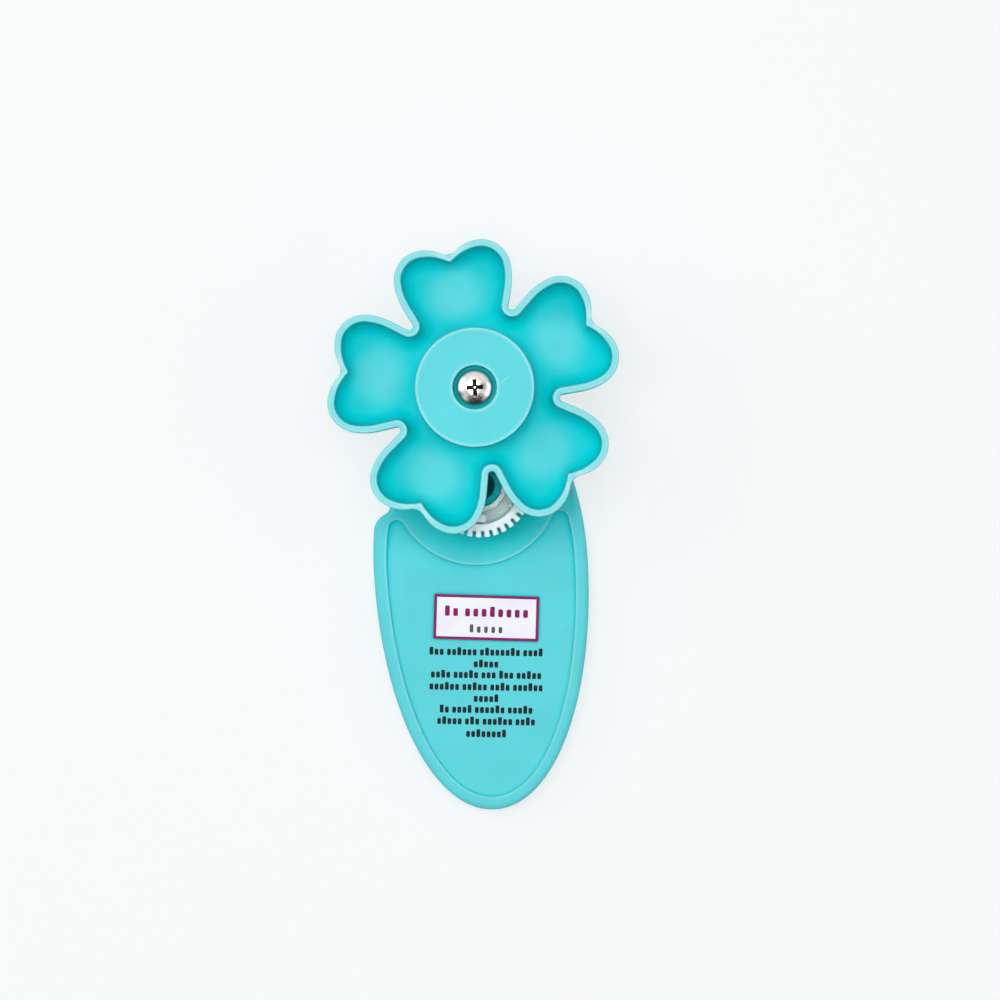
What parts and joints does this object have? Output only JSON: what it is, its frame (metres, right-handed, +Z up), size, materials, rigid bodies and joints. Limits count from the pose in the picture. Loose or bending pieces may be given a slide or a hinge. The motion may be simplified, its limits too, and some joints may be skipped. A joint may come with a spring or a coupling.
{
  "type": "paper crimper",
  "caption": "Hand-held crimper for paper strips: leaf-shaped base, flower-shaped turning knob and a pair of meshing gears in two levels of tooth depth.",
  "frame": {"origin": "on the underside of the base, below the idler gears' axis", "axes": "+Y runs from the handle's tip towards the knob, +Z up, +X to the right of someone who holds the handle and looks down on the knob"},
  "size_m": [0.0693, 0.1363, 0.0437],
  "materials": {
    "teal_plastic": "satin moulded plastic with a faint grain",
    "white_plastic": "smooth unfilled moulded plastic",
    "plated_steel": "bright zinc or nickel plating",
    "label_paper": "coated white sticker with a coloured border"
  },
  "bodies": {
    "base": {"base_shell": "teal_plastic", "base_cover": "teal_plastic", "cover_screw_1": "plated_steel", "cover_screw_2": "plated_steel", "cover_screw_3": "plated_steel", "cover_screw_4": "plated_steel", "cover_screw_5": "plated_steel", "label": "label_paper", "drive_bush": "white_plastic", "idler_washer": "white_plastic"},
    "drive": {"drive_shaft": "plated_steel", "lower_drive_gear": "white_plastic", "drive_spacer": "white_plastic", "upper_drive_gear": "white_plastic", "flower_knob": "teal_plastic", "knob_washer": "plated_steel", "knob_screw": "plated_steel"},
    "idler": {"lower_idler_gear": "white_plastic", "idler_spacer": "white_plastic", "upper_idler_gear": "white_plastic"}
  },
  "joints": [
    {"name": "knob_turn", "type": "hinge", "parent": "base", "child": "drive", "pos_m": [0, 0.0232, 0], "axis": [0, 0, 1], "continuous": true},
    {"name": "idler_spin", "type": "hinge", "parent": "base", "child": "idler", "pos_m": [0, 0, 0], "axis": [0, 0, 1], "continuous": true}
  ],
  "couplings": [
    {"joint": "idler_spin", "follows": "knob_turn", "ratio": -1}
  ]
}
